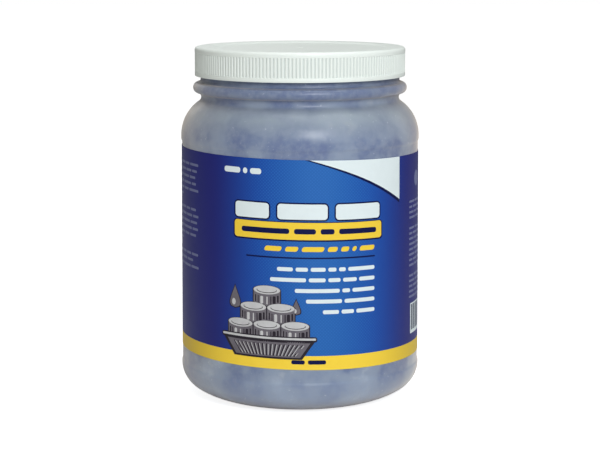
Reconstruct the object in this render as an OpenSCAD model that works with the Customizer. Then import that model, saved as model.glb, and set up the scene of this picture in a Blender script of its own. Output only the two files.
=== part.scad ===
// Wide-mouth plastic tub of water treatment tablets, with a ribbed screw lid.
// Millimetres, +Z up. The origin is the middle of the foot, on the surface the tub stands on.
// The front of the label faces -Y, and its seam is at the back, at +Y.

/* [Jar body] */
// Outside diameter at the lower of the two bulges that guard the label
bulge_d = 127.6; // [110:0.1:140]
// How much smaller the upper bulge is in radius
taper = 0.7; // [0:0.05:1.5]
// How far the label panel is sunk below the bulges
panel_sink = 0.45; // [0.2:0.05:0.8]
// Wall thickness of the blown jar
wall = 1.4; // [0.8:0.1:2.2]
// Radius of the heel, where the side turns under
heel_r = 13.5; // [10:0.1:16]
// Radius of the flatter sweep from the heel to the foot
belly_r = 33.2; // [28:0.1:45]
// How far round the heel goes before the flatter sweep takes over, in degrees
heel_turn = 57; // [50:1:65]
// Rise of the base at its middle
push_up = 3; // [1:0.1:5]
// Width of the flat ring that the jar stands on
foot_w = 4; // [2:0.5:8]
// Length of the mould's pinch line across the base
pinch_len = 52; // [30:1:56]
// Width of the pinch line
pinch_w = 0.9; // [0.5:0.1:1.5]
// How far the pinch line stands out
pinch_h = 0.4; // [0.2:0.1:0.6]
// Straight height of the lower bulge above the heel
low_bulge_h = 1.1; // [0.6:0.1:4]
// Height over which the wall steps between panel and bulge
step_h = 1; // [0.5:0.1:2]

/* [Shoulder and neck] */
// Straight height of the upper bulge before the shoulder starts
bulge_h = 1.9; // [1:0.1:6]
// Radius of the round shoulder
shoulder_r = 21.5; // [16:0.5:24]
// Outside diameter of the neck that carries the thread
neck_d = 105.2; // [100:0.1:107]
// How much deeper the groove above the shoulder is than the neck
groove_sink = 0.25; // [0.1:0.05:1.5]
// Radius of the groove's lower half, against the shoulder
groove_low_r = 2.8; // [1:0.1:4]
// Radius of the groove's upper half, against the bead
groove_high_r = 2.3; // [1:0.1:3]
// Radius of the crook between the bead and the neck
crook_r = 1.5; // [1:0.1:2]
// How far the bead stands out past the neck
bead_out = 4; // [3:0.05:5]
// Radius of the bead's round edge
bead_r = 2.8; // [2.4:0.1:4.5]
// Height of the neck above the crook
neck_h = 13.5; // [11:0.1:16]
// Small chamfer round the rim
rim_chamfer = 0.4; // [0.2:0.1:0.5]

/* [Screw thread] */
// Rise of the lid for each whole turn
thread_lead = 5.08; // [4:0.01:6]
// How far the thread stands out of the neck
thread_h = 1.1; // [0.8:0.1:1.5]
// Width of the thread at its foot
thread_foot = 2.6; // [2:0.1:3]
// Width of the thread at its crest
thread_crest = 1.2; // [0.8:0.1:1.6]
// Turns of thread on the neck
neck_turns = 1.25; // [1:0.05:1.4]
// Turns of thread in the lid
lid_turns = 1.1; // [0.8:0.05:1.2]
// Free space between the two threads
thread_gap = 0.35; // [0.3:0.05:0.5]
// Bare neck between the crook over the bead and the thread
thread_start = 1.6; // [1:0.1:2]
// Height of the lid's thread above the lid's foot
lid_thread_start = 0.4; // [0.2:0.1:1]

/* [Lid] */
// Wall thickness of the lid's skirt, over the ribs
lid_wall = 1.5; // [1.2:0.1:2.2]
// Height of the lid
lid_h = 15.2; // [14:0.1:17]
// Thickness of the lid's top panel
lid_top = 1.6; // [1.2:0.1:2.4]
// Free space between the neck thread and the lid's skirt
skirt_gap = 0.4; // [0.3:0.1:0.8]
// Width of the raised ring round the stacking recess
ring_w = 9.8; // [6:0.1:14]
// Depth of the stacking recess
recess_h = 0.8; // [0.4:0.1:1.5]
// Width of the slope round the recess
recess_slope = 1.2; // [0.5:0.1:3]
// Radius of the lid's upper edge
lid_edge_r = 1.6; // [1:0.1:2.2]
// Number of grip ribs
rib_count = 184; // [120:2:200]
// Depth of the grooves between the ribs
rib_depth = 0.45; // [0.3:0.05:0.6]
// How far the ribs stand in from the plain bands
rib_inset = 0.05; // [0.05:0.05:0.2]
// Height of the plain band under the ribs
lid_foot_h = 2; // [1:0.1:3]
// Height of the plain band over the ribs
lid_band_h = 2.8; // [2.4:0.1:4]
// Diameter of the moulding mark in the middle of the lid
gate_d = 4; // [2:0.5:8]

/* [Liner] */
// Thickness of the foam liner in the lid
liner_t = 1.2; // [0.6:0.1:2]
// Free space round the liner
liner_gap = 0.3; // [0.2:0.1:1]

/* [Label] */
// Height of the label
label_h = 107; // [90:0.1:112]
// Thickness of the label film
label_t = 0.2; // [0.1:0.05:0.3]
// How far the label is stuck on askew, in degrees
label_skew = 1.3; // [-1.5:0.1:1.5]
// Bare strip of panel below the label
low_margin = 7.1; // [3:0.1:10]
// Bare strip of panel above the label
top_margin = 3.5; // [3:0.1:10]
// Width of the bare strip between the label's two ends
seam_w = 4; // [2:0.5:12]
// Thickness of the adhesive under the label
glue_t = 0.03; // [0.01:0.01:0.05]

/* [Tablets] */
// Diameter of a tablet
tab_d = 29.8; // [26:0.1:30]
// Height of a tablet at its middle
tab_h = 18; // [14:0.1:19]
// Height of each domed face
dome_h = 3; // [2:0.1:4]
// Free space between a tablet and the wall
tab_gap = 0.45; // [0.4:0.05:0.9]
// Free space between a tablet and what it rests on
seat_gap = 0.08; // [0.05:0.01:0.2]
// How far a tablet in the body rocks to the side, in degrees
rock = 6; // [0:0.5:6]
// Most tablets in the loose ring at the top of the heap
top_ring = 5; // [4:1:6]
// How far a tablet at the top of the heap leans, in degrees
top_lean = 9; // [0:0.5:10]

/* [Hidden] */
$fn = 180;

// Jar profile
bulge_r = bulge_d / 2;
top_bulge_r = bulge_r - taper;
panel_r = bulge_r - panel_sink;
panel_top_r = top_bulge_r - panel_sink;
neck_r = neck_d / 2;
heel_c = [bulge_r - heel_r, belly_r - (belly_r - heel_r) * sin(heel_turn)];
belly_c = [heel_c[0] - (belly_r - heel_r) * cos(heel_turn), belly_r];
foot_in = belly_c[0] - foot_w;
dome_r = (foot_in * foot_in + push_up * push_up) / (2 * push_up);
dome_turn = asin(foot_in / dome_r);
dome_c = [0, push_up - dome_r];
panel_z = heel_c[1] + low_bulge_h + step_h;
label_z = panel_z + low_margin;
panel_top = label_z + label_h + top_margin;
shoulder_z = panel_top + step_h + bulge_h;
shoulder_c = [top_bulge_r - shoulder_r, shoulder_z];

// The groove's two halves touch the shoulder and the bead, and each centre follows from the one below it
function above(c, x, reach) = [x, c[1] + sqrt(reach * reach - (x - c[0]) * (x - c[0]))];
groove_r = neck_r - groove_sink;
groove_c = above(shoulder_c, groove_r + groove_low_r, shoulder_r + groove_low_r);
under_bead_c = [groove_r + groove_high_r, groove_c[1]];
bead_c = above(under_bead_c, neck_r + bead_out - bead_r, bead_r + groove_high_r);
crook_c = above(bead_c, neck_r + crook_r, bead_r + crook_r);
rim_z = crook_c[1] + neck_h;
function heading(a, b) = atan2(b[1] - a[1], b[0] - a[0]);
shoulder_turn = heading(shoulder_c, groove_c);
bead_low = heading(under_bead_c, bead_c);
bead_high = heading(bead_c, crook_c);

// How far a cutting shape reaches past what it cuts
over = 1;

// Thread
neck_thread_z = crook_c[1] + thread_foot / 2 + thread_start;
thread_reach = 0.4;
skirt_r = neck_r + thread_h + skirt_gap;
flank = (thread_foot - thread_crest) / 2 / thread_h;
lid_crest_r = skirt_r - thread_h;
thread_drop = thread_foot / 2 - flank * (lid_crest_r - neck_r) + thread_crest / 2 + thread_gap;
thread_step = 5;
thread_fade = 25;

// Lid
lid_r = skirt_r + lid_wall;
recess_r = lid_r - ring_w - recess_slope;
lid_under = rim_z + liner_t;
lid_floor = lid_under + lid_top;
lid_top_z = lid_floor + recess_h;
lid_z = lid_top_z - lid_h;
gate_h = 0.3;
// The ribs run into the bands by this much; a rib's flank and crest are parts of its pitch
rib_lap = 0.3;
rib_flank = 0.2;
rib_crest = 0.4;
// The lid's thread starts inside the skirt, turned so that it follows the neck's thread at its drop
lid_thread_z = lid_z + thread_foot / 2 + lid_thread_start;
lid_thread_turn = 360 * (lid_thread_z - neck_thread_z + thread_drop) / thread_lead;

// Tablets
tab_r = tab_d / 2;
face_r = (tab_r * tab_r + dome_h * dome_h) / (2 * dome_h);
face_c = face_r - tab_h / 2;
side_gap = 0.2;
tab_fn = 72;
outer_r = panel_top_r - wall - tab_gap - tab_r;
core_ring_r = (tab_r + side_gap / 2) / sin(60);
function ring_count(r) = floor(180 / asin((tab_r + side_gap / 2) / r));
outer_n = ring_count(outer_r);
// Three tablets fit inside the outer ring if they clear it, in step with its gaps where they can be
core_step = outer_n % 3 == 0 ? 180 / outer_n : 0;
core_fits = norm([outer_r * cos(core_step) - core_ring_r, outer_r * sin(core_step)]) > tab_d + side_gap;
core_n = core_fits ? 3 : 1;
core_r = core_fits ? core_ring_r : 0;
outer_z = heel_c[1] - dome_h
    - sqrt(pow(heel_r - wall - seat_gap, 2) - pow(outer_r + tab_r - heel_c[0], 2));
core_z = push_up - dome_r + sqrt(pow(dome_r + wall + face_r, 2) - core_r * core_r) - face_r + seat_gap;
rock_room = 2 * face_c * (1 - cos(rock));
courses = floor((shoulder_z - outer_z + tab_h / 4) / (tab_h + rock_room));

function arc(c, r, from, to, n) =
    [for (i = [0 : n]) let (a = from + (to - from) * i / n) c + r * [cos(a), sin(a)]];
function reverse(v) = [for (i = [len(v) - 1 : -1 : 0]) v[i]];

// Outline of the jar from the middle of its base to its rim, taken inwards by w
function outline(w) = concat(
    arc(dome_c, dome_r + w, 90, 90 - dome_turn, 6),
    arc(belly_c, belly_r - w, -90, -heel_turn, 8),
    arc(heel_c, heel_r - w, -heel_turn, 0, 8),
    [[bulge_r - w, panel_z - step_h], [panel_r - w, panel_z],
     [panel_top_r - w, panel_top], [top_bulge_r - w, panel_top + step_h]],
    arc(shoulder_c, shoulder_r - w, 0, shoulder_turn, 10),
    arc(groove_c, groove_low_r + w, 180 + shoulder_turn, 180, 4),
    arc(under_bead_c, groove_high_r + w, 180, bead_low, 5),
    arc(bead_c, bead_r - w, bead_low - 180, bead_high, 12),
    arc(crook_c, crook_r + w, 180 + bead_high, 180, 4));

// One ridge of thread round an axis. Its foot lies at foot_r, its crest at crest_r, and it fades at its ends.
module thread(foot_r, crest_r, turns) {
    out = sign(crest_r - foot_r);
    steps = ceil(turns * 360 / thread_step);
    function strength(a) = min(1, a / thread_fade, (turns * 360 - a) / thread_fade);
    function section(s) = [
        [foot_r - out * thread_reach, -thread_foot / 2],
        [foot_r + (crest_r - foot_r) * s - out * (1 - s) * thread_reach / 2, -thread_crest / 2],
        [foot_r + (crest_r - foot_r) * s - out * (1 - s) * thread_reach / 2, thread_crest / 2],
        [foot_r - out * thread_reach, thread_foot / 2]];
    rings = [for (i = [0 : steps]) let (a = turns * 360 * i / steps) for (p = section(strength(a)))
        [p[0] * cos(a), p[0] * sin(a), p[1] + thread_lead * a / 360]];
    sides = [for (i = [0 : steps - 1], j = [0 : 3]) let (a = 4 * i + j, b = 4 * i + (j + 1) % 4)
        each [[a, b, b + 4], [a, b + 4, a + 4]]];
    ends = [[3, 2, 1, 0], [for (j = [0 : 3]) 4 * steps + j]];
    faces = concat(sides, ends);
    polyhedron(rings, out > 0 ? faces : [for (f = faces) reverse(f)]);
}

// The line that the mould leaves across the push-up, where it closes the tube of plastic
module pinch_line() {
    from = 90 - asin((pinch_len / 2 + pinch_w) / dome_r);
    intersection() {
        rotate_extrude() polygon(concat(
            arc(dome_c, dome_r - pinch_h, 90, from, 6), arc(dome_c, dome_r + wall / 2, from, 90, 6)));
        translate([-pinch_len / 2, -pinch_w / 2, 0]) cube([pinch_len, pinch_w, push_up + wall]);
    }
}

module jar() {
    color([0.80, 0.84, 0.90, 0.6]) union() {
        rotate_extrude() polygon(concat(
            outline(0),
            [[neck_r, rim_z - rim_chamfer], [neck_r - rim_chamfer, rim_z],
             [neck_r - wall + rim_chamfer, rim_z], [neck_r - wall, rim_z - rim_chamfer]],
            reverse(outline(wall))));
        translate([0, 0, neck_thread_z]) thread(neck_r, neck_r + thread_h, neck_turns);
        pinch_line();
    }
}

// The label follows the panel's slight cone, and its edges are cut askew
module label() {
    panel_h = panel_top - panel_z;
    color([0.11, 0.27, 0.60]) intersection() {
        difference() {
            translate([0, 0, panel_z])
                cylinder(r1 = panel_r + glue_t + label_t, r2 = panel_top_r + glue_t + label_t, h = panel_h);
            translate([0, 0, panel_z])
                cylinder(r1 = panel_r + glue_t, r2 = panel_top_r + glue_t, h = panel_h);
            translate([-seam_w / 2, 0, panel_z - over]) cube([seam_w, bulge_r + over, panel_h + 2 * over]);
        }
        translate([0, 0, label_z + label_h / 2]) rotate([0, label_skew, 0])
            cube([bulge_d + 2 * over, bulge_d + 2 * over, label_h], center = true);
    }
}

module lid() {
    rib_z = lid_z + lid_foot_h;
    band_z = lid_top_z - lid_band_h;
    pitch = 360 / rib_count;
    rib_r = lid_r - rib_inset;
    groove_r = lid_r - rib_depth;
    color([0.90, 0.93, 0.92]) {
        difference() {
            union() {
                translate([0, 0, lid_z]) cylinder(r = lid_r, h = lid_foot_h);
                translate([0, 0, rib_z - rib_lap]) linear_extrude(band_z - rib_z + 2 * rib_lap)
                    polygon([for (i = [0 : rib_count - 1])
                        for (p = [[0, groove_r], [rib_flank, rib_r], [rib_flank + rib_crest, rib_r],
                                  [2 * rib_flank + rib_crest, groove_r]])
                            let (a = (i + p[0]) * pitch) [p[1] * cos(a), p[1] * sin(a)]]);
                rotate_extrude() polygon(concat(
                    [[0, band_z], [lid_r, band_z]],
                    arc([lid_r - lid_edge_r, lid_top_z - lid_edge_r], lid_edge_r, 0, 90, 8),
                    [[recess_r + recess_slope, lid_top_z], [recess_r, lid_floor],
                     [gate_d / 2 + gate_h, lid_floor], [gate_d / 2, lid_floor + gate_h],
                     [0, lid_floor + gate_h]]));
            }
            translate([0, 0, lid_z - over]) cylinder(r = skirt_r, h = lid_under - lid_z + over);
        }
        translate([0, 0, lid_thread_z]) rotate([0, 0, lid_thread_turn])
            thread(skirt_r, lid_crest_r, lid_turns);
    }
}

module lid_liner() {
    color([0.95, 0.95, 0.93]) translate([0, 0, rim_z])
        cylinder(r = skirt_r - liner_gap, h = liner_t);
}

// A tablet with two domed faces, centred on the origin
module tablet() {
    intersection() {
        cylinder(r = tab_r, h = tab_h, center = true, $fn = tab_fn);
        translate([0, 0, face_c]) sphere(r = face_r, $fn = tab_fn);
        translate([0, 0, -face_c]) sphere(r = face_r, $fn = tab_fn);
    }
}

// A heap is a list of tablets, each [x, y, z of its middle, lean, direction of the lean]
function axis(t) = [sin(t[3]) * cos(t[4]), sin(t[3]) * sin(t[4]), cos(t[3])];
function middle(t) = [t[0], t[1], t[2]];
function flat(p) = [p[0], p[1]];

// Height at which tablet t rests on tablet b below it: their domed faces just touch
function rest_on(t, b) =
    let (up = axis(t) * face_c, below = middle(b) - axis(b) * face_c,
         side = norm(flat([t[0], t[1]]) + flat(up) - flat(below)))
    side < 2 * tab_r ? below[2] + sqrt(4 * face_r * face_r - side * side) - up[2] : 0;
function settle(plan, heap, floor_z) = [for (t = plan)
    [t[0], t[1], seat_gap + max(concat([floor_z], [for (b = heap) rest_on(t, b)])), t[3], t[4]]];

// A ring of n tablets of radius r turned by turn, each rocking sideways by its own amount
spread = 137.5;
function sway(k, i) = sin(spread * k + 97 * i * i + 61 * i);
function ring(n, r, turn, k, lean) = [for (i = [0 : n - 1]) let (a = turn + i * 360 / n)
    [r * cos(a), r * sin(a), 0, lean * sway(k, i), a + 90]];
// Each course is turned a little further than the one below, and not evenly
course_turn = 4;
course_swing = 7;
function turn_of(k) = course_swing * sin(spread * k) + course_turn * k;

// The courses of the body: an outer ring against the wall and three tablets inside it
outer_plan = [for (k = [0 : courses - 1]) ring(outer_n, outer_r, turn_of(k) + 180 / outer_n, k, rock)];
core_plan = [for (k = [0 : courses - 1]) ring(core_n, core_r, turn_of(k), k, 0)];
// Each course rests on the course below it, and on the one below beside it
function stack(plan, beside, k, low) = k == 0
    ? [[for (t = plan[0]) [t[0], t[1], low + tab_h / 2, 0, t[4]]]]
    : let (below = stack(plan, beside, k - 1, low), side = len(beside) > 0 ? beside[k - 1] : [])
        concat(below, [settle(plan[k], concat(below[k - 1], side), 0)]);
outer_heap = stack(outer_plan, [], courses - 1, outer_z);
core_heap = stack(core_plan, outer_heap, courses - 1, core_z);
body_top = concat(outer_heap[courses - 1], core_heap[courses - 1]);

// The shoulder course draws in as the wall does, and the top ring stands in the neck
function inner_r(z) = z < shoulder_z ? panel_top_r - wall : min(panel_top_r - wall,
    shoulder_c[0] + sqrt(max(0, pow(shoulder_r - wall, 2) - pow(z - shoulder_z, 2))));
shoulder_edge_z = max([for (t = body_top) t[2]]) + tab_h / 2 + tab_h - dome_h;
shoulder_ring_r = inner_r(shoulder_edge_z) - tab_gap - tab_r;
shoulder_n = ring_count(shoulder_ring_r);
shoulder_ring_turn = 11;
function in_the_middle(lean, r) = r > tab_d * 1.1 ? [[0, 0, 0, lean, 4 * shoulder_ring_turn]] : [];
shoulder_plan = ring(shoulder_n, shoulder_ring_r, shoulder_ring_turn, courses, rock / 2);
shoulder_heap = settle(concat(shoulder_plan, in_the_middle(0, shoulder_ring_r)), body_top, 0);

top_ring_turn = 29;
top_ring_r = groove_r - wall - tab_gap - tab_r * cos(top_lean) - (tab_h / 2 - dome_h) * sin(top_lean);
top_n = min(top_ring, ring_count(top_ring_r) - 1);
top_plan = ring(top_n, top_ring_r, top_ring_turn, courses + 1, top_lean);
top_middle = in_the_middle(top_lean / 2, top_ring_r);
top_heap = settle(concat(top_plan, top_middle), concat(body_top, shoulder_heap), 0);

module heap(tablets, shade) {
    color(shade) for (t = tablets)
        translate([t[0], t[1], t[2]]) rotate([0, t[3], t[4]]) tablet();
}
module tablets_outer() { heap([for (course = outer_heap) each course], [0.36, 0.44, 0.72]); }
module tablets_core() { heap([for (course = core_heap) each course], [0.40, 0.48, 0.75]); }
module tablets_shoulder() { heap(shoulder_heap, [0.36, 0.44, 0.72]); }
module tablets_top() { heap(top_heap, [0.40, 0.48, 0.75]); }

jar();
label();
lid();
lid_liner();
tablets_outer();
tablets_core();
tablets_shoulder();
tablets_top();
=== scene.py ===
"""Tub of water treatment tablets: the looks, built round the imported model.

Every surface is worked out with numpy, in metres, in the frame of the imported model. A turned piece is an
outline of [radius, height] carried round the Z axis. A print field is a thin slab that lies on the label,
given by its left and right edges at each height.
"""
import math

import bpy
import numpy as np
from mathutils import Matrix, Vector
from mathutils.bvhtree import BVHTree


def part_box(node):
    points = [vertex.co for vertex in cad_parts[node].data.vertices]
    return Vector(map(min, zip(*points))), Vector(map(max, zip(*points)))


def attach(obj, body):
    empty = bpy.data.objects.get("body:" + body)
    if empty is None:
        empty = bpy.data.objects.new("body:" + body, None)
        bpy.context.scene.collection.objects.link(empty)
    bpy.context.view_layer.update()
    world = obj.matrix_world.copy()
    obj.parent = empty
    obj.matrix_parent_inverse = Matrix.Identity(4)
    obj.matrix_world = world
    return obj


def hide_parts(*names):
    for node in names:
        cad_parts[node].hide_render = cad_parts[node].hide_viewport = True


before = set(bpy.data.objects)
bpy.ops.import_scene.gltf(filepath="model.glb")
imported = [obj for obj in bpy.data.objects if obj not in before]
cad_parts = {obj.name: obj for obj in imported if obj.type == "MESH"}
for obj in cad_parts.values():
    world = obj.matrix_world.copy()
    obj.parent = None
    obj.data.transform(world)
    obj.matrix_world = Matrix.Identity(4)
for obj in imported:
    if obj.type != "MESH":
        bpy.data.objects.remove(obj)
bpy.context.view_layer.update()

MM = 0.001
TABLETS = ("tablets_outer", "tablets_core", "tablets_shoulder", "tablets_top")

# Jar sizes, in millimetres
BULGE_R = 63.8
TAPER = 0.7
PANEL_SINK = 0.45
TOP_BULGE_R = BULGE_R - TAPER
PANEL_R = BULGE_R - PANEL_SINK
PANEL_TOP_R = TOP_BULGE_R - PANEL_SINK
WALL = 1.4
HEEL_R = 13.5
BELLY_R = 33.2
HEEL_TURN = 57.0
PUSH_UP = 3.0
FOOT_W = 4.0
PINCH_LEN = 52.0
PINCH_W = 0.9
PINCH_H = 0.4
LOW_BULGE_H = 1.1
STEP_H = 1.0
LOW_MARGIN = 7.1
TOP_MARGIN = 3.5
BULGE_H = 1.9
SHOULDER_R = 21.5
NECK_R = 52.6
GROOVE_R = 52.35
GROOVE_LOW_R = 2.8
GROOVE_HIGH_R = 2.3
CROOK_R = 1.5
BEAD_MAX_R = 56.6
BEAD_R = 2.8
RIM_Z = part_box("jar")[1][2] / MM
RIM_CHAMFER = 0.4
STEP_SOFT = 0.25
NECK_ROWS = 34
AROUND_JAR = 240

# Thread sizes; the lid's thread follows the neck's at THREAD_DROP below it
LEAD = 5.08
THREAD_H = 1.1
THREAD_FOOT = 2.6
THREAD_CREST = 1.2
NECK_TURNS = 1.25
LID_TURNS = 1.1
THREAD_FADE = 25.0
THREAD_START = 1.6
THREAD_DROP = 1.995

# Lid sizes
LID_R = 55.6
LID_TOP_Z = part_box("lid")[1][2] / MM
LID_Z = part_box("lid")[0][2] / MM
SKIRT_R = 54.1
LID_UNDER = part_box("lid_liner")[1][2] / MM
RECESS_R = 44.6
RECESS_H = 0.8
RECESS_SLOPE = 1.2
LID_EDGE_R = 1.6
RIBS = 184
RIB_DEPTH = 0.45
RIB_INSET = 0.05
RIB_POINTS = 5
LID_SOFT = 0.35
LID_FOOT_H = 2.0
LID_BAND_H = 2.8
LID_THREAD_START = 0.4
GATE_R = 2.0
GATE_H = 0.3
LINER_GAP = 0.3
AROUND_LINER = 120

# Label sizes
LABEL_H = 107.0
LABEL_LIFT = 0.23
LABEL_T = 0.2
LABEL_SLOPE = math.tan(math.radians(1.3))
SEAM_W = 4.0
AROUND_R = 63.2
LABEL_EDGE = 0.04

# Ink: columns of a field are at most PITCH apart, and a pointed field ends at this share of its width
PITCH = 1.2
TIP = 0.01
# Lifts of the layers of ink above the label's face
OUTLINE = 0.034
FACE = 0.062
DETAIL = 0.09
GLINT = 0.015

# Edges flatter than this many degrees are shaded as smooth
SMOOTH = 32
# The farthest tablet that shows through the wall, in millimetres
FAR = 30.0


def arc(centre, r, start, end, n):
    """Points on a circle about centre, from the angle start to the angle end, in degrees."""
    a = np.radians(np.linspace(start, end, n + 1))
    return np.stack([centre[0] + r * np.cos(a), centre[1] + r * np.sin(a)], axis=1)


def above(c, x, reach):
    """Centre at radius x that lies reach away from c, on its upper side."""
    return (x, c[1] + math.sqrt(reach ** 2 - (x - c[0]) ** 2))


def heading(a, b):
    """Direction from a to b, in degrees."""
    return math.degrees(math.atan2(b[1] - a[1], b[0] - a[0]))


def line(*points, n=1):
    """Straight stretches between the points, each cut into n."""
    pts = np.array(points, float)
    t = np.linspace(0, 1, n + 1)[:-1, None]
    return np.concatenate([a + (b - a) * t for a, b in zip(pts[:-1], pts[1:])] + [pts[-1:]])


HEEL_C = (BULGE_R - HEEL_R, BELLY_R - (BELLY_R - HEEL_R) * math.sin(math.radians(HEEL_TURN)))
BELLY_C = (HEEL_C[0] - (BELLY_R - HEEL_R) * math.cos(math.radians(HEEL_TURN)), BELLY_R)
FOOT_IN = BELLY_C[0] - FOOT_W
PANEL_Z = HEEL_C[1] + LOW_BULGE_H + STEP_H
LABEL_Z = PANEL_Z + LOW_MARGIN
PANEL_TOP = LABEL_Z + LABEL_H + TOP_MARGIN
DOME_R = (FOOT_IN ** 2 + PUSH_UP ** 2) / (2 * PUSH_UP)
DOME_TURN = math.degrees(math.asin(FOOT_IN / DOME_R))
SHOULDER_C = (TOP_BULGE_R - SHOULDER_R, PANEL_TOP + STEP_H + BULGE_H)
GROOVE_C = above(SHOULDER_C, GROOVE_R + GROOVE_LOW_R, SHOULDER_R + GROOVE_LOW_R)
UNDER_BEAD_C = (GROOVE_R + GROOVE_HIGH_R, GROOVE_C[1])
BEAD_C = above(UNDER_BEAD_C, BEAD_MAX_R - BEAD_R, BEAD_R + GROOVE_HIGH_R)
CROOK_C = above(BEAD_C, NECK_R + CROOK_R, BEAD_R + CROOK_R)
SHOULDER_TURN = heading(SHOULDER_C, GROOVE_C)
BEAD_LOW = heading(UNDER_BEAD_C, BEAD_C)
BEAD_HIGH = heading(BEAD_C, CROOK_C)
NECK_THREAD_Z = CROOK_C[1] + THREAD_FOOT / 2 + THREAD_START
LABEL_TOP = LABEL_Z + LABEL_H

# The print, in millimetres round the label from its front's middle, and up from the foot
BAND_TOP = LABEL_Z + 7.3
BRIGHT_AT = 10.0
LATTICE = 3.8
PRINT_RIGHT = 40.6
TITLE_Z = 106.8
TITLE_H = 7.8
PLAQUE_AT = 5.2
CODE_AT = 81.2
CODE_LEFT = 73.9
TITLE = [(-34.2, -15.8), (-11.4, 14.0), (18.3, 43.8)]
LINES = [
    (77.6, ((-11.6, -3.6), (-2.2, 4.0), (5.4, 13.0), (14.4, 18.6), (20.0, 23.6), (25.0, PRINT_RIGHT))),
    (72.2, ((-15.2, 3.0), (4.4, 13.0), (14.4, 20.8), (22.2, 29.8), (31.2, PRINT_RIGHT))),
    (66.7, ((-2.6, 20.4), (21.8, 26.0), (27.4, PRINT_RIGHT))),
    (61.3, ((3.0, 21.6), (23.0, PRINT_RIGHT))),
    (55.8, ((11.6, 20.0), (21.4, 28.2), (29.6, PRINT_RIGHT)))]
# The code's stripes: how far from its left side, and how wide
STRIPES = [(0.0, 1.3), (2.1, 0.6), (3.4, 1.4), (5.6, 0.6), (7.0, 0.6), (8.3, 1.5), (10.6, 0.7), (12.0, 0.6),
           (13.4, 1.3)]


def jar_outline(w):
    """The jar's outline from the middle of its base to the crook under the neck, taken inwards by w."""
    soft = STEP_SOFT
    low, high = (PANEL_R - w, PANEL_Z + 2), (PANEL_TOP_R - w, PANEL_TOP - 2)
    return np.concatenate([
        arc((0, PUSH_UP - DOME_R), DOME_R + w, 90, 90 - DOME_TURN, 14),
        line((FOOT_IN + 0.4, w), (BELLY_C[0], w), n=3),
        arc(BELLY_C, BELLY_R - w, -88, -HEEL_TURN, 20),
        arc(HEEL_C, HEEL_R - w, -HEEL_TURN + 4, 0, 16),
        line((BULGE_R - w, PANEL_Z - STEP_H - soft), (BULGE_R - w - 0.05, PANEL_Z - STEP_H + soft / 2),
             (PANEL_R - w + 0.05, PANEL_Z - soft / 2), (PANEL_R - w, PANEL_Z + soft)),
        line(low, high, n=12),
        line((PANEL_TOP_R - w, PANEL_TOP - soft), (PANEL_TOP_R - w + 0.05, PANEL_TOP + soft / 2),
             (TOP_BULGE_R - w - 0.05, PANEL_TOP + STEP_H - soft / 2),
             (TOP_BULGE_R - w, PANEL_TOP + STEP_H + soft)),
        arc(SHOULDER_C, SHOULDER_R - w, 0, SHOULDER_TURN, 24),
        arc(GROOVE_C, GROOVE_LOW_R + w, 180 + SHOULDER_TURN - 6, 180, 9),
        arc(UNDER_BEAD_C, GROOVE_HIGH_R + w, 172, BEAD_LOW + 8, 7),
        arc(BEAD_C, BEAD_R - w, BEAD_LOW - 180, BEAD_HIGH, 24),
        arc(CROOK_C, CROOK_R + w, 172 + BEAD_HIGH, 180, 7)])


def ridge(z, angle, z_start, turns):
    """Height, from 0 to 1, of a thread's ridge at height z and angle: a flat crest with sloping flanks.

    The ridge climbs by the lead each turn from z_start, and fades at both ends.
    """
    out = np.zeros(np.broadcast(z, angle).shape)
    for turn in range(math.ceil(turns) + 1):
        along = angle + 360 * turn
        end = np.clip(np.minimum(along, turns * 360 - along) / THREAD_FADE, 0, 1)
        off = np.abs(z - z_start - LEAD * along / 360)
        side = np.clip((THREAD_FOOT / 2 - off) / ((THREAD_FOOT - THREAD_CREST) / 2), 0, 1)
        out = np.maximum(out, side * side * (3 - 2 * side) * end)
    return out


def solid_of(name, verts, faces):
    """A mesh object in metres from points in millimetres and a list of faces, with sharp edges kept sharp."""
    mesh = bpy.data.meshes.new(name)
    mesh.from_pydata((np.asarray(verts, float) * MM).tolist(), [], faces)
    mesh.polygons.foreach_set("use_smooth", [True] * len(mesh.polygons))
    mesh.set_sharp_from_angle(angle=math.radians(SMOOTH))
    mesh.update()
    piece = bpy.data.objects.new(name, mesh)
    bpy.context.scene.collection.objects.link(piece)
    return piece


def loft(n, m):
    """Faces of a grid of n rows by m columns of points, closed across the columns."""
    row = np.arange(n - 1)[:, None] * m
    column = np.arange(m)[None, :]
    beside = (column + 1) % m
    corners = (row + column, row + beside, row + m + beside, row + m + column)
    return np.stack(np.broadcast_arrays(*corners), axis=-1).reshape(-1, 4).tolist()


def strip(front, back):
    """Vertices and faces of a thin sheet: each row runs along the front and returns along the back."""
    ring = np.concatenate([front, back[:, ::-1]], axis=1)
    n, m = ring.shape[:2]
    faces = loft(n, m)
    top = (n - 1) * m
    for j in range(front.shape[1] - 1):
        faces.append([j, m - 1 - j, m - 2 - j, j + 1])
        faces.append([top + j, top + j + 1, top + m - 2 - j, top + m - 1 - j])
    return ring.reshape(-1, 3), faces


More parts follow.
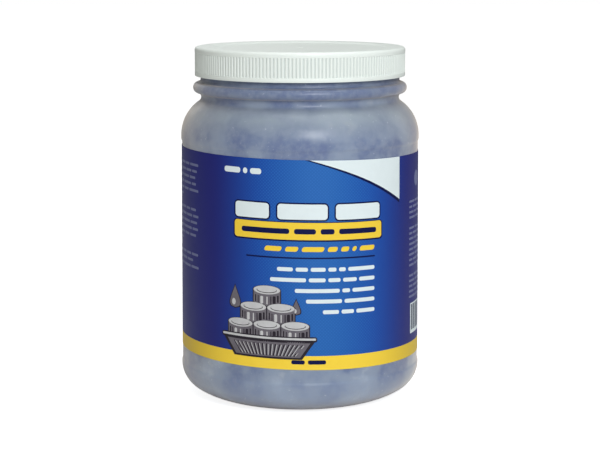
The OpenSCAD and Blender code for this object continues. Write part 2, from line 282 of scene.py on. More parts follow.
def turned(name, outline, around, radius=None):
    """A closed piece turned about Z: each outline point [r, z] becomes a ring of points at r(angle, row).

    The outline starts and ends on the axis, where the ring is one pole, and radius, if given, returns the
    radii of all rings from the outline and the angles in degrees. The outline runs anticlockwise, seen with
    the radius to the right and the height upwards, so that the faces point outwards.
    """
    degrees = np.arange(around) * 360.0 / around
    inner = outline[1:-1]
    r = np.broadcast_to(inner[:, :1], (len(inner), around)).copy()
    if radius is not None:
        r = radius(inner, degrees)
    a = np.radians(degrees)[None, :]
    ring = np.stack([r * np.cos(a), r * np.sin(a), np.broadcast_to(inner[:, 1:], r.shape)], axis=-1)
    n = len(inner)
    verts = np.concatenate([ring.reshape(-1, 3), [[0, 0, outline[0, 1]], [0, 0, outline[-1, 1]]]])
    faces = loft(n, around)
    first, last, top = n * around, n * around + 1, (n - 1) * around
    faces += [[first, (j + 1) % around, j] for j in range(around)]
    faces += [[last, top + j, top + (j + 1) % around] for j in range(around)]
    return solid_of(name, verts, faces)


def make_jar():
    """The blown jar: its outer and inner outlines joined at the rim, the thread a ridge on the neck."""
    neck_z = np.linspace(CROOK_C[1] + 0.3, RIM_Z - RIM_CHAMFER, NECK_ROWS)
    outer_neck = np.stack([np.full(NECK_ROWS, NECK_R), neck_z], axis=1)
    rim = np.array([[NECK_R - 0.12, RIM_Z - 0.12], [NECK_R - RIM_CHAMFER, RIM_Z],
                    [NECK_R - WALL + RIM_CHAMFER, RIM_Z], [NECK_R - WALL + 0.12, RIM_Z - 0.12]])
    inner_neck = np.array([[NECK_R - WALL, RIM_Z - RIM_CHAMFER], [NECK_R - WALL, CROOK_C[1] + 4]])
    outline = np.concatenate([jar_outline(0), outer_neck, rim, inner_neck, jar_outline(WALL)[::-1]])
    start = len(jar_outline(0)) - 1
    rows = slice(start, start + NECK_ROWS)

    def radius(rings, degrees):
        r = np.repeat(rings[:, :1], len(degrees), axis=1)
        r[rows] += THREAD_H * ridge(rings[rows, 1:], degrees[None, :], NECK_THREAD_Z, NECK_TURNS)
        return r

    shell = turned("jar_shell", outline, AROUND_JAR, radius)
    mark_contents(shell)
    return shell


def mark_contents(shell):
    """Stores how far from each point of the wall the nearest tablet lies, in mm, as the attribute gap."""
    points, polygons = [], []
    for name in TABLETS:
        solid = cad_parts[name]
        base = len(points)
        points += [solid.matrix_world @ v.co for v in solid.data.vertices]
        polygons += [[base + i for i in p.vertices] for p in solid.data.polygons]
    tree = BVHTree.FromPolygons(points, polygons)
    far = FAR * MM
    gaps = [(tree.find_nearest(v.co, far)[3] or far) / MM for v in shell.data.vertices]
    shell.data.attributes.new("gap", "FLOAT", "POINT").data.foreach_set("value", gaps)


def make_lid():
    """The lid: grip ribs are a wave of the radius round the skirt, and its thread a ridge inside."""
    band_z = LID_TOP_Z - LID_BAND_H
    rib_z = LID_Z + LID_FOOT_H
    floor_z = LID_TOP_Z - RECESS_H
    start_z = LID_Z + THREAD_FOOT / 2 + LID_THREAD_START
    turn = 360 * (start_z - NECK_THREAD_Z + THREAD_DROP) / LEAD
    ribbed_r = LID_R - RIB_INSET
    slope_r = RECESS_R + RECESS_SLOPE
    under = np.array([[0, LID_UNDER], [SKIRT_R / 2, LID_UNDER], [SKIRT_R - 0.3, LID_UNDER],
                      [SKIRT_R, LID_UNDER - 0.3]])
    inside_z = np.linspace(LID_UNDER - 0.6, LID_Z + LID_SOFT, NECK_ROWS)
    inside = np.stack([np.full(NECK_ROWS, SKIRT_R), inside_z], axis=1)
    foot = np.array([[SKIRT_R + 0.3, LID_Z], [LID_R - LID_SOFT, LID_Z], [LID_R - 0.1, LID_Z + 0.1],
                     [LID_R, LID_Z + LID_SOFT], [LID_R, rib_z - LID_SOFT], [ribbed_r, rib_z - 0.1]])
    ribbed = line((ribbed_r, rib_z + 0.05), (ribbed_r, rib_z + 0.4), (ribbed_r, band_z - 0.4),
                  (ribbed_r, band_z - 0.05))
    top = np.concatenate([
        [[ribbed_r, band_z + 0.1], [LID_R, band_z + LID_SOFT]],
        arc((LID_R - LID_EDGE_R, LID_TOP_Z - LID_EDGE_R), LID_EDGE_R, 0, 90, 10),
        line((slope_r + 0.5, LID_TOP_Z), (slope_r, LID_TOP_Z - 0.06), (RECESS_R, floor_z + 0.06),
             (RECESS_R - 0.5, floor_z), (RECESS_R / 2, floor_z),
             (GATE_R + 1.4, floor_z), (GATE_R + 0.4, floor_z), (GATE_R + 0.1, floor_z + 0.05),
             (GATE_R - 0.2, floor_z + 0.9 * GATE_H), (GATE_R - 0.5, floor_z + GATE_H),
             (0, floor_z + GATE_H))])
    outline = np.concatenate([under, inside, foot, ribbed, top])
    in_rows = slice(len(under) - 1, len(under) - 1 + len(inside))
    rib_row = len(under) + len(inside) + len(foot) - 1

    def radius(rings, degrees):
        r = np.repeat(rings[:, :1], len(degrees), axis=1)
        at = np.mod(degrees - turn, 360)[None, :]
        r[in_rows] -= THREAD_H * ridge(rings[in_rows, 1:], at, start_z, LID_TURNS)
        phase = np.mod(degrees * RIBS / 360, 1)
        groove = np.interp(phase, [0, 0.2, 0.6, 0.8, 1], [1, 0, 0, 1, 1])
        r[rib_row + 1:rib_row + 3] -= (RIB_DEPTH - RIB_INSET) * groove
        return r

    return turned("lid_shell", outline, RIBS * RIB_POINTS, radius)


def make_pinch():
    """The pinch line across the push-up: a low half-round ridge along the dome, tapered at its ends.

    Its lower half hangs from the dome, and its upper half is sunk into the wall.
    """
    n, m = 61, 14
    sunk, root = 0.05, 0.4
    x = np.linspace(-PINCH_LEN / 2, PINCH_LEN / 2, n)[:, None]
    a = np.radians(np.arange(m) * 360 / m)[None, :]
    fade = np.sqrt(np.clip((1 - np.abs(x) / (PINCH_LEN / 2)) / 0.06, 0.02, 1))
    y = -PINCH_W / 2 * np.cos(a) * np.ones((n, 1))
    dome = PUSH_UP - DOME_R + np.sqrt(DOME_R ** 2 - x ** 2 - y ** 2)
    z = dome + sunk - (PINCH_H + sunk) * np.sin(a) * fade
    z = np.where(np.sin(a) < 0, dome + sunk - root * np.sin(a), z)
    ring = np.stack([np.broadcast_to(x, y.shape), y, z], axis=-1)
    faces = [face[::-1] for face in loft(n, m)]
    faces += [list(range(m)), [(n - 1) * m + j for j in reversed(range(m))]]
    return solid_of("pinch_line", ring.reshape(-1, 3), faces)


def make_liner():
    """The liner: a disc with soft edges."""
    r, low, high = SKIRT_R - LINER_GAP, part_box("lid_liner")[0][2] / MM, LID_UNDER - 0.01
    outline = line((0, low), (r / 2, low), (r - 0.25, low), (r, low + 0.2), (r, high - 0.2),
                   (r - 0.25, high), (r / 2, high), (0, high))
    return turned("liner_disc", outline, AROUND_LINER)


def on_label(s, z, lift):
    """Points lift above the label's face: s runs round the front from its middle, to the right, and z up.

    The label lies on the panel's slight cone, and it is stuck on askew, so its right side lies lower.
    """
    a = s / AROUND_R
    height = z - LABEL_SLOPE * AROUND_R * np.sin(a)
    along = (height - PANEL_Z) / (PANEL_TOP - PANEL_Z)
    r = PANEL_R - TAPER * along + LABEL_LIFT + lift
    return np.stack([r * np.sin(a), -r * np.cos(a), height], axis=-1)


def slab(z, left, right, lift):
    """Vertices and faces of a thin field of ink, closed all round, from the label's face to lift above it.

    z, left and right are arrays: at each height the field runs from left to right.
    """
    cols = max(2, int(np.ceil((right - left).max() / PITCH)) + 1)
    t = np.linspace(0, 1, cols)[None, :]
    s = left[:, None] * (1 - t) + right[:, None] * t
    z = np.broadcast_to(z[:, None], s.shape)
    return strip(on_label(s, z, lift), on_label(s, z, 0.0))


def gather(name, fields):
    """One piece from several slabs."""
    verts, faces, base = [], [], 0
    for v, f in fields:
        verts.append(v)
        faces += [[base + i for i in face] for face in f]
        base += len(v)
    return solid_of(name, np.concatenate(verts), faces)


def rounded(s, z, w, h, r, lift, lean=0.0):
    """A round-cornered bar with its middle at s, z. lean moves its top to the right."""
    q = np.radians(np.linspace(0, 90, 7))
    up = np.concatenate([-h / 2 + r * (1 - np.cos(q)), h / 2 - r * (1 - np.cos(q[::-1]))])
    inset = np.concatenate([r * (1 - np.sin(q)), r * (1 - np.sin(q[::-1]))])
    shift = s + lean * up / h
    return slab(z + up, shift - w / 2 + inset, shift + w / 2 - inset, lift)


def make_label():
    """The label: a thin sleeve whose front, back and edges are one closed strip, open at the seam."""
    half = math.pi * AROUND_R - SEAM_W / 2
    edge = LABEL_EDGE
    z = np.concatenate([[LABEL_Z, LABEL_Z + edge], np.linspace(LABEL_Z + 2, LABEL_TOP - 2, 14),
                        [LABEL_TOP - edge, LABEL_TOP]])
    s = np.concatenate([[-half, -half + edge], np.linspace(-half + 1, half - 1, 300), [half - edge, half]])
    trim = np.where((z == z[0]) | (z == z[-1]), edge, 0.0)
    rim = np.where((s == s[0]) | (s == s[-1]), edge, 0.0)
    lower = np.maximum(trim[:, None], rim[None, :])
    s, z = np.broadcast_to(s[None, :], lower.shape), np.broadcast_to(z[:, None], lower.shape)
    return solid_of("label_sleeve", *strip(on_label(s, z, -lower), on_label(s, z, -LABEL_T)))


def bars(stretches, z, h, lift, lean=0.0):
    """Small rounded bars in a row, one for each stretch from left to right."""
    return [rounded((left + right) / 2, z, right - left, h, 0.42 * h, lift, lean=lean)
            for left, right in stretches]


def disc(s, z, w, h, lift):
    """An ellipse, w wide and h high, with its middle at s, z."""
    q = np.radians(np.linspace(-90, 90, 15))
    half = w / 2 * np.cos(q)
    half[0] = half[-1] = w * TIP
    return slab(z + h / 2 * np.sin(q), s - half, s + half, lift)


def tablet_picture(s, z, w, thick, lift):
    """A round tablet seen a little from above, as two fields: its side, and its top face."""
    flat = w * 0.16
    q = np.radians(np.linspace(-90, 0, 9))
    up = np.concatenate([z - thick + flat * np.sin(q), [z]])
    half = np.concatenate([w / 2 * np.cos(q), [w / 2]])
    half[0] = w * TIP
    return slab(up, s - half, s + half, lift), disc(s, z, w, 2 * flat, lift + GLINT)


def drop_picture(s, z, w, h, lift):
    """A drop: a round bowl that narrows to a point at the top."""
    t = np.linspace(0, 1, 18)
    half = w / 2 * np.sin(np.pi * np.sqrt(t)) ** 0.9 * (1 - 0.25 * t)
    half = np.maximum(half, w * TIP)
    return slab(z + h * t, s - half, s + half, lift)


class Value:
    """A number or vector socket that can be calculated with as if it were a number."""

    def __init__(self, paint, socket):
        self.paint = paint
        self.socket = socket

    def _do(self, kind, *others):
        return self.paint.calc(kind, self, *others)

    def __add__(self, other):
        return self._do("ADD", other)

    def __radd__(self, other):
        return self.paint.calc("ADD", other, self)

    def __sub__(self, other):
        return self._do("SUBTRACT", other)

    def __rsub__(self, other):
        return self.paint.calc("SUBTRACT", other, self)

    def __mul__(self, other):
        return self._do("MULTIPLY", other)

    def __rmul__(self, other):
        return self.paint.calc("MULTIPLY", other, self)

    def __truediv__(self, other):
        return self._do("DIVIDE", other)

    def __neg__(self):
        return self._do("MULTIPLY", -1.0)

    def __abs__(self):
        return self._do("ABSOLUTE")

    def __lt__(self, other):
        return self._do("LESS_THAN", other)

    def clip(self):
        """The value held between 0 and 1."""
        return self.paint.calc("MAXIMUM", self.paint.calc("MINIMUM", self, 1.0), 0.0)

    def ramp(self, low, high):
        """A soft step: 0 up to low, 1 from high on."""
        t = ((self - low) / (high - low)).clip()
        return t * t * (3.0 - 2.0 * t)


class Paint:
    """A material and the nodes that make it."""

    def __init__(self, name):
        self.material = bpy.data.materials.new(name)
        self.material.use_nodes = True
        self.tree = self.material.node_tree
        self.tree.nodes.clear()

    def node(self, kind, out=0, settings=None, **values):
        """Any node: its settings first, then a number, colour or Value for each input, by name or place."""
        made = self.tree.nodes.new(kind)
        for key, value in (settings or {}).items():
            setattr(made, key, value)
        for key, value in values.items():
            place = int(key[1:]) if key[0] == "i" and key[1:].isdigit() else key.replace("_", " ")
            socket = made.inputs[place]
            if isinstance(value, Value):
                self.tree.links.new(value.socket, socket)
            else:
                socket.default_value = value
        return Value(self, made.outputs[out])

    def calc(self, kind, *terms):
        """A Math node."""
        values = {f"i{i}": term for i, term in enumerate(terms)}
        return self.node("ShaderNodeMath", settings={"operation": kind}, **values)

    def mix(self, factor, a, b):
        """A colour between a and b."""
        return self.node("ShaderNodeMix", out=2, settings={"data_type": "RGBA"}, i0=factor, i6=a, i7=b)

    def place(self):
        """X, Y and Z in the object's own coordinates, in millimetres."""
        at = self.node("ShaderNodeTexCoord", out="Object")
        split = [self.node("ShaderNodeSeparateXYZ", out=k, i0=at) for k in range(3)]
        return [part * 1000.0 for part in split]

    def noise(self, scale, detail=2.0, rough=0.5, stretch=(1.0, 1.0, 1.0)):
        """Noise from 0 to 1 in the object's own coordinates; scale is in ups and downs per metre."""
        at = self.node("ShaderNodeTexCoord", out="Object")
        wide = self.node("ShaderNodeVectorMath", settings={"operation": "MULTIPLY"}, i0=at, i1=stretch)
        return self.node("ShaderNodeTexNoise", Vector=wide, Scale=scale, Detail=detail, Roughness=rough)

    def bump(self, height, strength, distance):
        """A normal from a height."""
        return self.node("ShaderNodeBump", Height=height, Strength=strength, Distance=distance)

    def finish(self, **values):
        """The material, with a Principled shader with these values as its surface."""
        shader = self.node("ShaderNodeBsdfPrincipled", **values)
        out = self.tree.nodes.new("ShaderNodeOutputMaterial")
        self.tree.links.new(shader.socket, out.inputs["Surface"])
        return self.material


def jar_material():
    """Natural polyethylene, milky and slightly clear, with a faint orange peel.

    The tablets show as soft pale patches where they touch the wall, the gaps between them as a dusky blue
    that is partly random mottling and partly painted shade, and the wall itself where nothing lies behind it.
    The foot is paler with painted light, the shoulder paler and greyer towards the groove, and the shoulder's
    crest and the bead up to the lid darker with painted shade. Powder and a few specks lie over it all.
    """
    paint = Paint("jar plastic")
    cloud = paint.noise(42.0, 4.0, 0.6)
    soft = paint.noise(75.0, 2.0, 0.5)
    fine = paint.noise(900.0, 3.0, 0.6)
    gap = paint.node("ShaderNodeAttribute", out="Fac", settings={"attribute_name": "gap"})
    near = 1.0 - gap.ramp(1.4, 6.0)
    # Noise mottling, paler where tablets touch the wall and deep blue in the gaps, where the deep blue is
    # painted shade
    patch = near * 0.55 + (cloud - 0.5) * 1.5 + (soft - 0.5) * 1.0 + 0.22
    deep, blue, milky = (0.165, 0.225, 0.41, 1), (0.31, 0.39, 0.53, 1), (0.49, 0.58, 0.70, 1)
    body = paint.mix(patch.ramp(0.05, 0.5), deep, blue)
    body = paint.mix(patch.ramp(0.5, 1.0), body, milky)
    touch = near.ramp(0.4, 0.9) * paint.noise(95.0, 3.0, 0.5, (1.0, 1.0, 1.6)).ramp(0.56, 0.68)
    body = paint.mix(0.5 * touch, body, (0.60, 0.66, 0.70, 1))
    z = paint.place()[2]
    # Painted light: paler and bluer towards the foot
    foot = 1.0 - (z + (cloud - 0.5) * 16.0).ramp(6.0, 26.0)
    body = paint.mix(0.35 * foot, body, (0.50, 0.60, 0.78, 1))
    up = z - SHOULDER_C[1]
    # Paler and greyer on the shoulder, up towards the groove
    greyer_shoulder = up.ramp(2.0, 12.0) * (1.0 - z.ramp(GROOVE_C[1] - 4, GROOVE_C[1]))
    body = paint.mix(0.45 * greyer_shoulder, body, (0.42, 0.50, 0.50, 1))
    # Painted shade: the shoulder's crest darker
    crest = up.ramp(1.0, 8.0) * (1.0 - up.ramp(9.0, 15.0))
    body = paint.mix(0.35 * crest, body, (0.16, 0.21, 0.36, 1))
    # Painted shade under the lid: darker from above the groove, over the bead, up to the lid's foot
    bead = z.ramp(GROOVE_C[1] + 1.5, GROOVE_C[1] + 3.5) * (1.0 - z.ramp(LID_Z - 2, LID_Z))
    body = paint.mix(0.3 * bead, body, (0.12, 0.16, 0.28, 1))
    bare = gap.ramp(5.0, 12.0) * z.ramp(LID_Z, LID_Z + 4)
    body = paint.mix(bare, body, (0.56, 0.61, 0.61, 1))
    powder = paint.noise(300.0, 4.0, 0.7).ramp(0.35, 0.75)
    specks = paint.noise(620.0, 2.0, 0.5).ramp(0.68, 0.76)
    body = paint.mix(0.5 * powder, body, (0.34, 0.40, 0.52, 1))
    colour = paint.mix(0.45 * specks, body, (0.72, 0.78, 0.84, 1))
    return paint.finish(
        Base_Color=colour, Roughness=0.27 + 0.08 * cloud, IOR=1.5, Specular_IOR_Level=0.2,
        Transmission_Weight=0.3, Sheen_Weight=0.6, Sheen_Roughness=0.45, Sheen_Tint=(1.0, 0.88, 0.72, 1),
        Normal=paint.bump(fine * 0.06 + soft, 0.3, 0.0015))


def label_material():
    """The printed film: blue that is bright at the front's middle and navy at the sides, with a fine lattice;
    the fade towards the sides is partly print and partly painted shade.

    A yellow band, darker at the sides with painted shade, runs along its foot.
    """
    paint = Paint("label film")
    x, y, z = paint.place()
    s = paint.calc("ARCTAN2", x, -y) * AROUND_R
    z = z + LABEL_SLOPE * x
    off = abs(s - BRIGHT_AT)
    bright, strong, navy = (0.010, 0.105, 0.385, 1), (0.004, 0.058, 0.33, 1), (0.005, 0.009, 0.155, 1)
    # The fade from bright blue to navy towards the sides is print and, in part, painted shade
    blue = paint.mix(off.ramp(26.0, 62.0), paint.mix(off.ramp(2.0, 36.0), bright, strong), navy)
    wave = paint.calc("SINE", s * LATTICE) * paint.calc("SINE", z * LATTICE)
    dots = wave.ramp(-0.2, 0.9) * (1.0 - off.ramp(20.0, 46.0))
    blue = paint.mix(0.45 * dots, blue, (0.02, 0.17, 0.52, 1))
    worn = paint.noise(160.0, 4.0, 0.6)
    band = paint.mix(worn, (0.84, 0.59, 0.040, 1), (0.89, 0.64, 0.055, 1))
    # Painted shade: the yellow band darker towards the sides
    band = paint.mix(0.5 * abs(s).ramp(30.0, 76.0), band, (0.52, 0.36, 0.012, 1))
    colour = paint.mix(z < BAND_TOP, blue, band)
    return paint.finish(
        Base_Color=colour, Roughness=0.42 + 0.1 * worn, IOR=1.5, Specular_IOR_Level=0.25,
        Normal=paint.bump(paint.noise(60.0, 2.0), 0.12, 0.0004))


def ink_material(name, colour, other=None):
    """Printed ink: a colour that varies a little from place to place."""
    paint = Paint(name)
    worn = paint.noise(240.0, 3.0, 0.6)
    faded = other or tuple(0.93 * c for c in colour)
    return paint.finish(Base_Color=paint.mix(worn, (*colour, 1), (*faded, 1)), Roughness=0.42 + 0.1 * worn,
                        Specular_IOR_Level=0.12)


def lid_material():
    """Injection-moulded white plastic with a faint satin grain, with painted shade in the grooves of its grip
    and on its inside below the top band.
    """
    paint = Paint("lid plastic")
    x, y, z = paint.place()
    cloud = paint.noise(30.0, 3.0, 0.5)
    grain = paint.noise(2600.0, 2.0, 0.5)
    # Painted shade: darker in the grip's grooves and everywhere further in, below the top band
    groove = (LID_R - paint.calc("SQRT", x * x + y * y)).ramp(0.12, 0.42) * (z < LID_TOP_Z - LID_BAND_H)
    colour = paint.mix(cloud, (0.722, 0.785, 0.752, 1), (0.76, 0.82, 0.785, 1))
    colour = paint.mix(0.55 * groove, colour, (0.46, 0.51, 0.50, 1))
    return paint.finish(
        Base_Color=colour, Roughness=0.38 + 0.1 * cloud, IOR=1.49, Normal=paint.bump(grain, 0.15, 0.00015))


def liner_material():
    """White foam sheet with fine cells."""
    paint = Paint("liner foam")
    cells = paint.noise(1800.0, 2.0, 0.6)
    return paint.finish(Base_Color=paint.mix(cells, (0.84, 0.85, 0.83, 1), (0.90, 0.91, 0.89, 1)),
                        Roughness=0.7 + 0.1 * cells, Normal=paint.bump(cells, 0.3, 0.0003))


def tablet_material():
    """Waxy blue gel, with violet depths, paler clouds and a fine pitted skin."""
    paint = Paint("tablet")
    patch = paint.noise(34.0, 3.0, 0.55)
    grain = paint.noise(1400.0, 3.0, 0.7)
    body = paint.mix(patch.ramp(0.35, 0.65), (0.07, 0.10, 0.38, 1), (0.24, 0.34, 0.64, 1))
    colour = paint.mix(grain.ramp(0.52, 0.72) * 0.3, body, (0.45, 0.55, 0.80, 1))
    return paint.finish(Base_Color=colour, Roughness=0.42 + 0.15 * grain,
                        Normal=paint.bump(grain, 0.35, 0.0004))


def corner_field(grow, lift):
    """The corner field: it hangs from the label's top, and its lower edge is bowed upwards.

    From the tip to the top, t goes from 0 to 1, and the edge lies 0.74 t + 0.26 t^3 of the way to the left.
    grow is 1 for the outline, whose edge lies lower and further left.
    """
    left, right, low = 5.0 - 2.4 * grow, 59.6, 110.9 - 1.8 * grow
    thin = 0.05
    t = np.linspace(0, 1, 30)
    z = low + (LABEL_TOP - thin - low) * t
    start = right - (right - left) * (0.74 * t + 0.26 * t ** 3)
    return slab(z, np.minimum(start, right - thin), np.full(len(z), right), lift)


def white_print():
    """White ink: the corner, the large bars, the short ones above, the right-set lines, the code's ground."""
    fields = [corner_field(0, FACE)]
    fields += bars(((-41.0, -31.4), (-29.8, -27.4), (-25.8, -19.8)), 126.4, 2.9, FACE)
    for left, right in TITLE:
        fields.append(rounded((left + right) / 2, TITLE_Z, right - left, TITLE_H, 1.7, FACE))
    for z, stretches in LINES:
        fields += bars(stretches, z, 2.0, FACE)
    fields.append(rounded(CODE_AT, 45.8, 16.8, 16.2, 0.3, FACE))
    return gather("print_white", fields)


def dark_print():
    """Dark ink: outlines under the white and yellow fields, the rule, the bars on yellow and the stripes."""
    fields = [corner_field(1, OUTLINE)]
    for left, right in TITLE:
        fields.append(rounded((left + right) / 2, TITLE_Z, right - left + 1.5, TITLE_H + 1.5, 2.4, OUTLINE))
    fields.append(rounded(PLAQUE_AT, 96.8, 81.2, 9.9, 1.9, OUTLINE))
    fields += bars(((-30.6, -5.4), (-3.0, 8.0), (10.4, 17.6), (20.0, 41.6)), 96.9, 2.7, DETAIL)
    fields.append(rounded(6.4, 83.4, 69.0, 0.75, 0.3, OUTLINE))
    fields += bars(((-4.4, 2.4), (4.0, 13.2)), 29.9, 2.1, DETAIL)
    for at, w in STRIPES:
        fields.append(rounded(CODE_LEFT + at + w / 2, 46.4, w, 13.6, 0.05, DETAIL))
    return gather("print_dark", fields)


def yellow_print():
    """Yellow ink: the long plaque and the leaning bars under it."""
    fields = [rounded(PLAQUE_AT, 97.0, 79.8, 8.7, 1.6, FACE)]
    fields += bars(((-18.0, -9.4), (-7.4, -1.0), (1.0, 12.2), (14.2, 19.2), (21.2, 25.4), (27.4, 29.6),
                    (31.6, 40.4)), 87.9, 2.5, FACE, lean=0.8)
    return gather("print_yellow", fields)


def small_row(start, end, z, h, r, shortest, turn, space, tail=0.0):
    """A row of small bars from start to end. Their lengths vary by the golden ratio from turn on.

    A rest at the row's end that would be shorter than tail joins the last bar.
    """
    fields = []
    at = start
    k = 1
    while at < end - 3:
        stop = min(at + shortest + 6.0 * np.mod(0.618 * k + turn, 1), end)
        if end - stop < tail:
            stop = end
        fields.append(rounded((at + stop) / 2, z, stop - at, h, r, FACE))
        at = stop + space
        k += 1
    return fields


def panel_print():
    """Pale ink: paragraphs of small bars on both side panels, and a plain disc over the right ones."""
    fields = []
    for k in range(17):
        end = -84.0 if k in (5, 12) else -62.0 - (0.0, 1.4, 0.5, 2.6)[k % 4]
        if k not in (6, 13):
            fields += small_row(-116.0, end, 125.4 - 3.35 * k, 1.3, 0.45, 5.0, 0.29 * k, 1.2, tail=2.5)
    for k in range(19):
        end = 111.0 if k % 4 == 3 else 122.0
        if k not in (4, 13):
            fields += small_row(71.0, end, 108.0 - 2.8 * k, 1.2, 0.4, 4.0, 0.41 * k, 1.1)
    fields.append(disc(83.0, 119.4, 8.4, 8.4, FACE))
    return gather("print_pale", fields)


def picture():
    """The label's picture: a pyramid of round tablets in a shallow tray, with drops beside it, in greys.

    Each course lies a little higher off the label than the one behind it, and the tray highest.
    """
    dark, mid, light = [], [], []
    middle = -17.0
    courses = [(66.4, (middle,), 0.0), (57.4, (-24.3, -9.7), 0.03), (48.4, (-31.6, middle, -2.4), 0.06)]
    for z, places, lift in courses:
        for at in places:
            side, face = tablet_picture(at, z, 15.0, 7.3, OUTLINE + lift)
            dark += [side, face]
            side, face = tablet_picture(at, z, 14.0, 6.6, FACE + lift)
            mid.append(side)
            light.append(face)
            high = DETAIL + lift
            for off, drop, w, h in [(3.9, 5.0, 1.6, 4.0), (5.8, 4.4, 0.9, 3.6), (-5.9, 4.4, 0.6, 3.6),
                                    (2.2, 5.2, 0.5, 4.0), (-4.5, 5.0, 0.4, 4.0)]:
                dark.append(rounded(at + off, z - drop, w, h, w * 0.4, high))
            for off, drop, w, h in [(-2.6, 5.2, 1.5, 4.0), (0.2, 5.4, 0.6, 4.0)]:
                light.append(rounded(at + off, z - drop, w, h, w * 0.4, high))
            dark.append(disc(at, z - 0.1, 10.6, 2.9, high))
            light.append(disc(at, z + 0.1, 10.0, 2.6, high + GLINT))
    tray = 0.09
    tray_z, fin_z = 31.2, 35.8
    fins, fin_pitch = 17, 1.95
    up = np.linspace(0, 1, 8)
    dark.append(slab(tray_z + 9.4 * up, middle - 18.0 - 6.6 * up, middle + 18.0 + 6.6 * up, OUTLINE + tray))
    mid.append(slab(tray_z + 1 + 7.6 * up, middle - 17.0 - 5.2 * up, middle + 17.0 + 5.2 * up, FACE + tray))
    for k in range(fins):
        lean = (k - fins // 2) * 0.55
        at = -32.6 + fin_pitch * k + lean * 0.1
        dark.append(rounded(at, fin_z, 0.65, 6.2, 0.25, DETAIL + tray, lean))
        light.append(rounded(at + 0.8, fin_z, 0.35, 5.6, 0.15, DETAIL + tray, lean))
    dark.append(rounded(middle, 41.6, 51.4, 2.7, 1.2, DETAIL + tray))
    light.append(rounded(middle, 41.8, 50.2, 1.1, 0.5, DETAIL + tray + 0.02))
    for at, z, w, h in [(-34.6, 55.4, 6.4, 11.2), (-1.9, 54.0, 4.4, 7.4)]:
        dark.append(drop_picture(at, z, w + 1.1, h + 1.3, OUTLINE))
        mid.append(drop_picture(at, z + 0.5, w, h, FACE))
        light.append(disc(at - w * 0.12, z + h * 0.3, w * 0.34, h * 0.3, DETAIL))
    return gather("picture_dark", dark), gather("picture_mid", mid), gather("picture_light", light)


# The pieces
jar = make_jar()
lid = make_lid()
liner = make_liner()
pinch = make_pinch()
label = make_label()
white = white_print()
dark = dark_print()
yellow = yellow_print()
pale = panel_print()
picture_dark, picture_mid, picture_light = picture()

plastic = jar_material()
for piece, made in (
        (jar, plastic),
        (pinch, plastic),
        (lid, lid_material()),
        (liner, liner_material()),
        (label, label_material()),
        (white, ink_material("ink white", (0.70, 0.79, 0.81))),
        (dark, ink_material("ink dark", (0.002, 0.005, 0.056))),
        (yellow, ink_material("ink yellow", (0.84, 0.59, 0.05))),
        (pale, ink_material("ink pale", (0.15, 0.17, 0.33))),
        (picture_dark, ink_material("picture dark", (0.022, 0.018, 0.026))),
        (picture_mid, ink_material("picture mid", (0.19, 0.18, 0.20), (0.08, 0.07, 0.09))),
        (picture_light, ink_material("picture light", (0.58, 0.59, 0.60), (0.42, 0.42, 0.43)))):
    piece.data.materials.append(made)

tablet = tablet_material()
for node in TABLETS:
    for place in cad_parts[node].material_slots:
        place.material = tablet

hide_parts("jar")
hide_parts("label")
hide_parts("lid")
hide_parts("lid_liner")
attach(jar, "tub")
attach(pinch, "tub")
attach(lid, "lid")
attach(liner, "liner")
for piece in (label, white, dark, yellow, pale, picture_dark, picture_mid, picture_light):
    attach(piece, "tub")


def area_light(name, place, height, size, power, colour=(1, 1, 1)):
    """A square lamp at place that looks at the object's middle line at this height."""
    data = bpy.data.lights.new(name, "AREA")
    data.size = size
    data.energy = power
    data.color = colour
    lamp = bpy.data.objects.new(name, data)
    bpy.context.scene.collection.objects.link(lamp)
    lamp.location = place
    lamp.rotation_euler = (Vector((0, 0, height)) - Vector(place)).to_track_quat("-Z", "Y").to_euler()
    return lamp


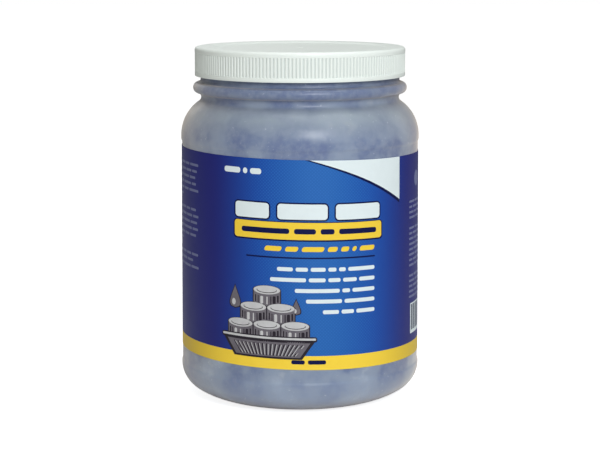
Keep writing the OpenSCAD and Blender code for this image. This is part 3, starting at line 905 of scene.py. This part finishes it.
def white_world():
    """A world that is white to the camera and a softer grey to everything else."""
    world = bpy.data.worlds.new("room")
    world.use_nodes = True
    tree = world.node_tree
    tree.nodes.clear()
    path = tree.nodes.new("ShaderNodeLightPath")
    mix = tree.nodes.new("ShaderNodeMix")
    mix.data_type = "RGBA"
    mix.inputs[6].default_value = (0.26, 0.26, 0.255, 1)
    mix.inputs[7].default_value = (1, 1, 1, 1)
    tree.links.new(path.outputs["Is Camera Ray"], mix.inputs[0])
    shade = tree.nodes.new("ShaderNodeBackground")
    tree.links.new(mix.outputs[2], shade.inputs["Color"])
    out = tree.nodes.new("ShaderNodeOutputWorld")
    tree.links.new(shade.outputs[0], out.inputs["Surface"])
    bpy.context.scene.world = world


def make_floor():
    """A wide white floor, lifted to full white for the camera outside the object's shadow."""
    mesh = bpy.data.meshes.new("floor")
    side, drop = 6.0, 0.0002
    corners = [(-side, -side, 0), (side, -side, 0), (side, side, 0), (-side, side, 0)]
    mesh.from_pydata(corners, [], [(0, 1, 2, 3)])
    floor = bpy.data.objects.new("floor", mesh)
    bpy.context.scene.collection.objects.link(floor)
    floor.location.z = -drop
    paint = Paint("floor white")
    seen = paint.node("ShaderNodeLightPath", out="Is Camera Ray")
    glow = paint.mix(seen, (0, 0, 0, 1), (0.84, 0.84, 0.84, 1))
    mesh.materials.append(paint.finish(Base_Color=(0.82, 0.82, 0.82, 1), Roughness=0.9, Emission_Color=glow,
                                       Emission_Strength=1.0))


white_world()
make_floor()
key = area_light("key", (0.27, -1.0, 0.62), 0.09, 0.40, 8.0)
fill = area_light("fill", (-0.9, -0.35, 0.30), 0.09, 0.8, 0.3, (1.0, 0.74, 0.34))
top = area_light("top", (0.10, -0.05, 1.0), 0.15, 0.7, 4.0)
back = area_light("back", (-0.30, 1.05, 0.60), 0.10, 0.6, 0.6)

# The camera, as fitted to the photo: it looks down by CAMERA_DOWN degrees
CAMERA_AT = (0.0, -0.9322, 0.2395)
CAMERA_DOWN = 9.10
camera_data = bpy.data.cameras.new("camera")
camera_data.lens = 105.56
camera_data.sensor_width = 36.0
camera = bpy.data.objects.new("camera", camera_data)
bpy.context.scene.collection.objects.link(camera)
camera.location = CAMERA_AT
camera.rotation_euler = (math.radians(90 - CAMERA_DOWN), 0.0, 0.0)
bpy.context.scene.camera = camera
bpy.context.scene.view_settings.view_transform = "Standard"
